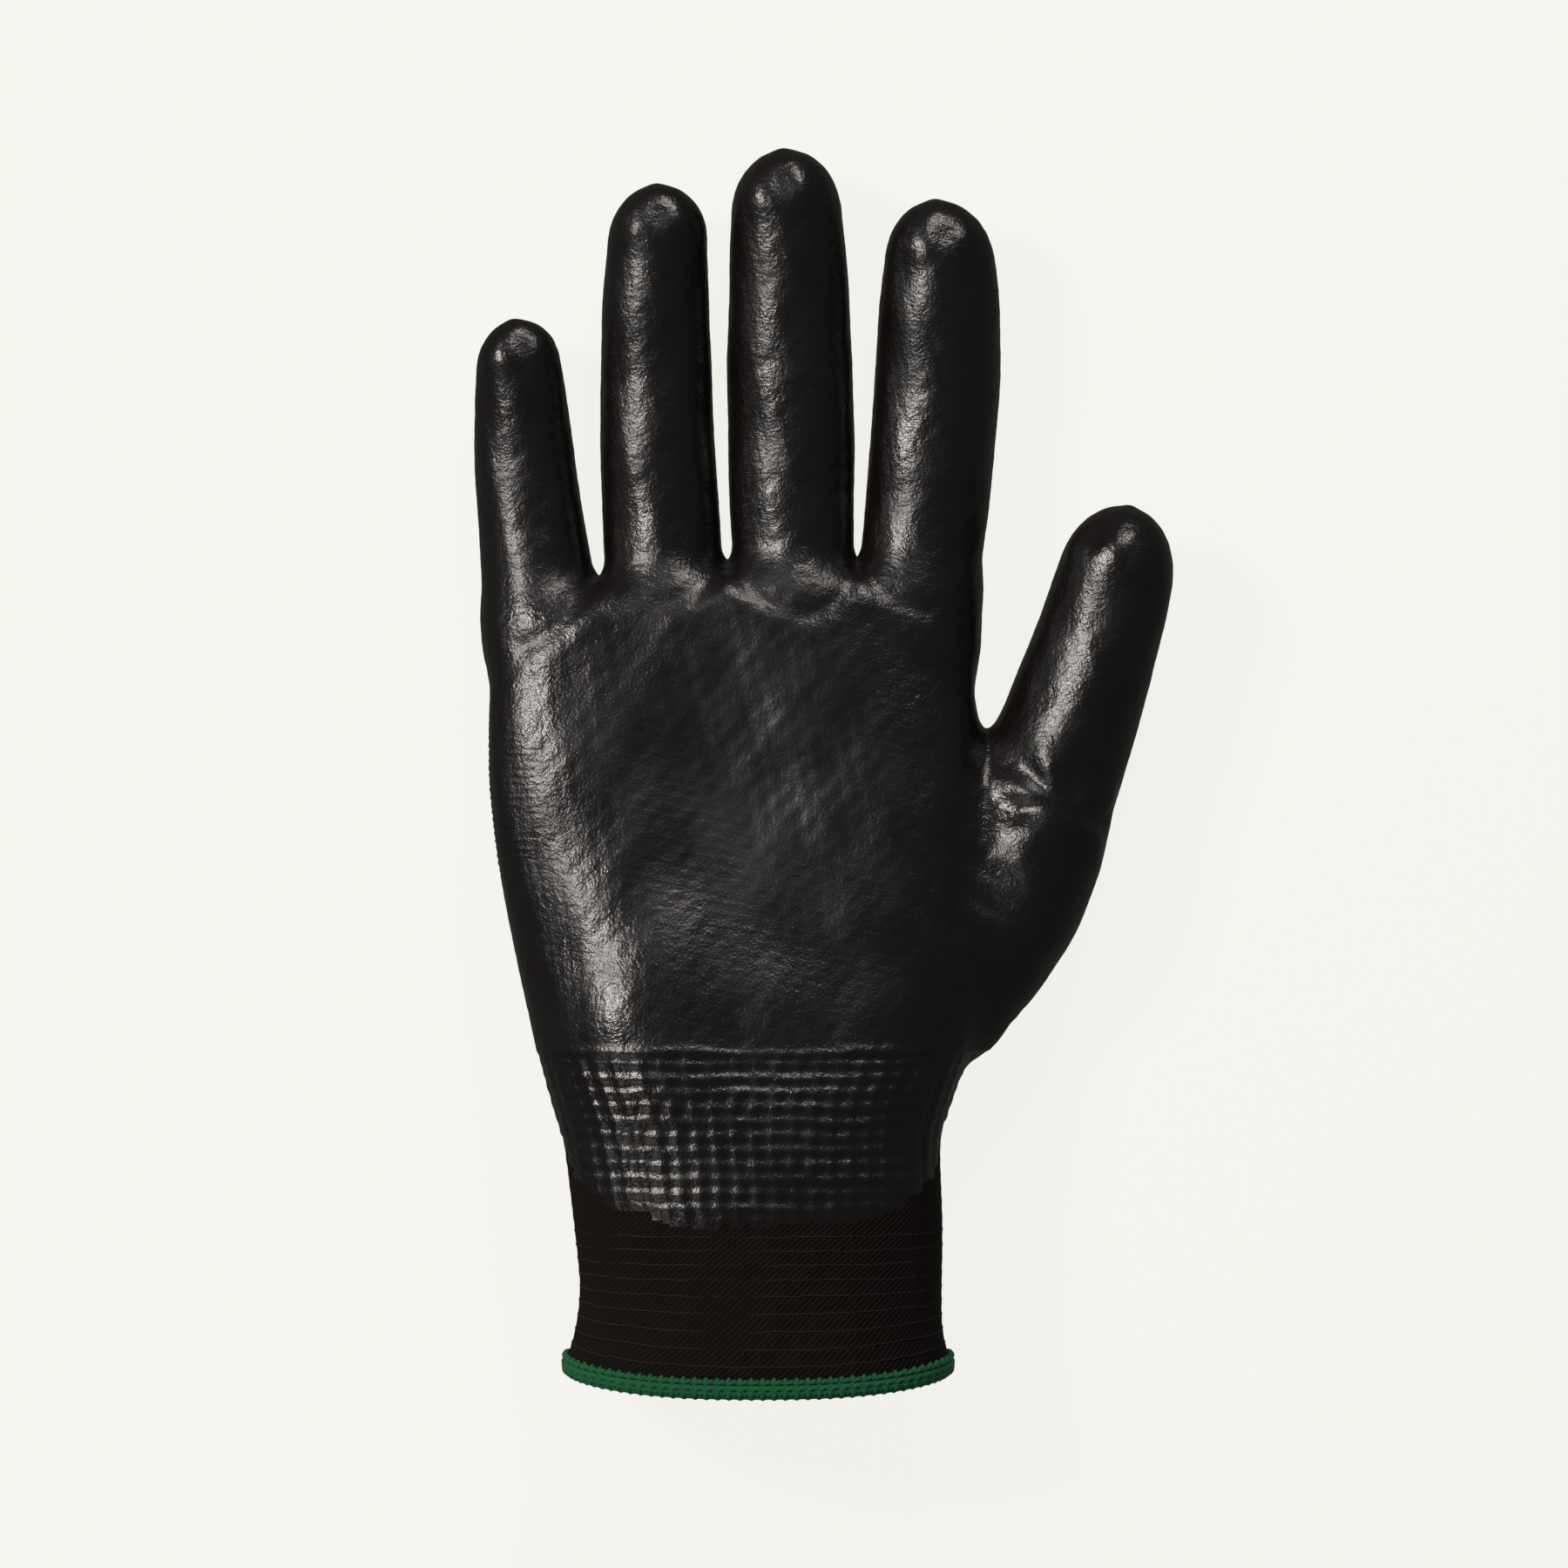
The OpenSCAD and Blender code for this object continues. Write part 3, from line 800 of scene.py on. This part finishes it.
def tube(name, line, radius, material, sides=8):
    """A closed loop of thread."""
    forward = loop_direction(line)
    out = gradient(line)
    out -= (out * forward).sum(1)[:, None] * forward
    out = unit(out)
    across = np.cross(forward, out)
    a = np.linspace(0, 2 * np.pi, sides, endpoint=False)
    rings = line[:, None] + radius * (np.cos(a)[None, :, None] * out[:, None]
                                      + np.sin(a)[None, :, None] * across[:, None])
    n = len(line)
    i, j = np.meshgrid(np.arange(n), np.arange(sides), indexing="ij")
    here, ahead = i * sides, (i + 1) % n * sides
    j2 = (j + 1) % sides
    faces = np.stack((here + j, here + j2, ahead + j2, ahead + j), -1).reshape(-1, 4)
    points = rings.reshape(-1, 3)
    return make_mesh(name, points, faces, material, attributes={"rest": points})


for k in range(ELASTIC_COUNT):
    ring, outward, _ = cuff_ring(FIRST_ELASTIC - ELASTIC_PITCH * k)
    ring = ring + outward * -ELASTIC_SINK
    ring[:, 1] += 0.10 * waves(ring, 7, 40 + k) + 0.05 * waves(ring, 2.5, 60 + k)
    thread = tube(f"elastic_{k + 1}", ring, ELASTIC_RADIUS, elastic_grey, 6)
    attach(thread, "cuff")
    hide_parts("elastic_threads")

# The hem's threads. Each stitch climbs from the first y above the edge and the first
# distance out to the second, and comes back down. shift is the stitch's start and lag
# its lean, both as shares of a stitch.
HEM_THREADS = (
    dict(name="hem_outer_looper", node="hem_outer_looper_thread", y=(-1.2, 1.5),
         out=(-0.05, -0.15), radius=0.55, shift=0.0, lag=0.22),
    dict(name="hem_cover", node=None, y=(-1.5, 0.0),
         out=(0.0, 0.15), radius=0.55, shift=0.5, lag=-0.25),
    dict(name="hem_edge_chain", node=None, y=(-1.75, -1.5),
         out=(-0.9, -0.45), radius=0.62, shift=0.5, lag=-0.22),
    dict(name="hem_inner_looper", node="hem_inner_looper_thread", y=(-1.4, 1.5),
         out=(-1.7, -2.0), radius=0.55, shift=0.25, lag=0.20),
    dict(name="hem_needle_thread", node="hem_needle_thread", y=(0.9, 1.2),
         out=(0.1, 0.2), radius=0.4, shift=0.5, lag=0.3),
)
edge, edge_outward, edge_length = cuff_ring(CUFF_END, STITCHES * PER_STITCH)
edge_direction = loop_direction(edge)
stitch_length = edge_length / STITCHES


def hem_thread(name, node, y, out, radius, shift, lag):
    """A looping thread round the cuff's edge."""
    phase = 2 * np.pi * (np.arange(len(edge)) / PER_STITCH + shift)
    climb = (0.5 - 0.5 * np.cos(phase)) ** 0.8
    line = edge + edge_outward * (out[0] + (out[1] - out[0]) * climb)[:, None]
    line[:, 1] += y[0] + (y[1] - y[0]) * climb
    line += edge_direction * (lag * stitch_length * np.sin(phase))[:, None]
    piece = tube(name, line, radius, hem_green)
    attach(piece, "cuff")
    if node:
        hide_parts(node)


for thread in HEM_THREADS:
    hem_thread(**thread)

# ---- floor, light and camera ------------------------------------------------

FLOOR_HALF = 6.0                # metres from the middle to each side
floor_material = Nodes("floor").finish(
    Base_Color=(0.05, 0.05, 0.048, 1), Roughness=0.9, Specular_IOR_Level=0.1,
    Emission_Color=(1.0, 0.991, 0.937, 1), Emission_Strength=0.87)
floor_mesh = bpy.data.meshes.new("floor")
signs = ((-1, -1), (1, -1), (1, 1), (-1, 1))
floor_corners = [(x * FLOOR_HALF, y * FLOOR_HALF, 0) for x, y in signs]
floor_mesh.from_pydata(floor_corners, [], [(0, 1, 2, 3)])
floor_mesh.materials.append(floor_material)
floor = add_object("floor", floor_mesh)
floor.visible_glossy = False    # the studio keeps the floor's glare off the sides

world = bpy.data.worlds.new("studio")
world.use_nodes = True
background = world.node_tree.nodes["Background"]
background.inputs["Color"].default_value = (1.0, 0.98, 0.95, 1)
background.inputs["Strength"].default_value = 0.10
bpy.context.scene.world = world

# Name, place in metres, size and power in watts. Each light faces the glove's middle.
LIGHTS = (
    ("key", (-0.95, 0.50, 1.12), (0.2, 0.3), 18),
    ("low_left", (-1.0, -0.75, 1.2), (0.2, 0.25), 2),
    ("tips", (0.25, 1.3, 0.95), (0.2, 0.2), 9),
)
for name, location, size, power in LIGHTS:
    light_data = bpy.data.lights.new(name, "AREA")
    light_data.shape = "RECTANGLE"
    light_data.size, light_data.size_y = size
    light_data.energy = power
    light_data.color = (1.0, 0.955, 0.92)
    light = add_object(name, light_data)
    light.location = location
    light.rotation_mode = "QUATERNION"
    light.rotation_quaternion = (-Vector(location)).to_track_quat("-Z", "Y")

CAMERA_DISTANCE = 1.2           # metres
VIEW_WIDTH = 0.301              # metres seen across the picture at that distance
VIEW_MIDDLE = (-7.94, -1.42, 14)
SENSOR = 36
camera_data = bpy.data.cameras.new("camera")
camera_data.lens = SENSOR * CAMERA_DISTANCE / VIEW_WIDTH
camera_data.sensor_width = SENSOR
camera = add_object("camera", camera_data)
camera.location = [v * MM for v in VIEW_MIDDLE]
camera.location.z += CAMERA_DISTANCE
bpy.context.scene.camera = camera
bpy.context.scene.view_settings.view_transform = "Standard"
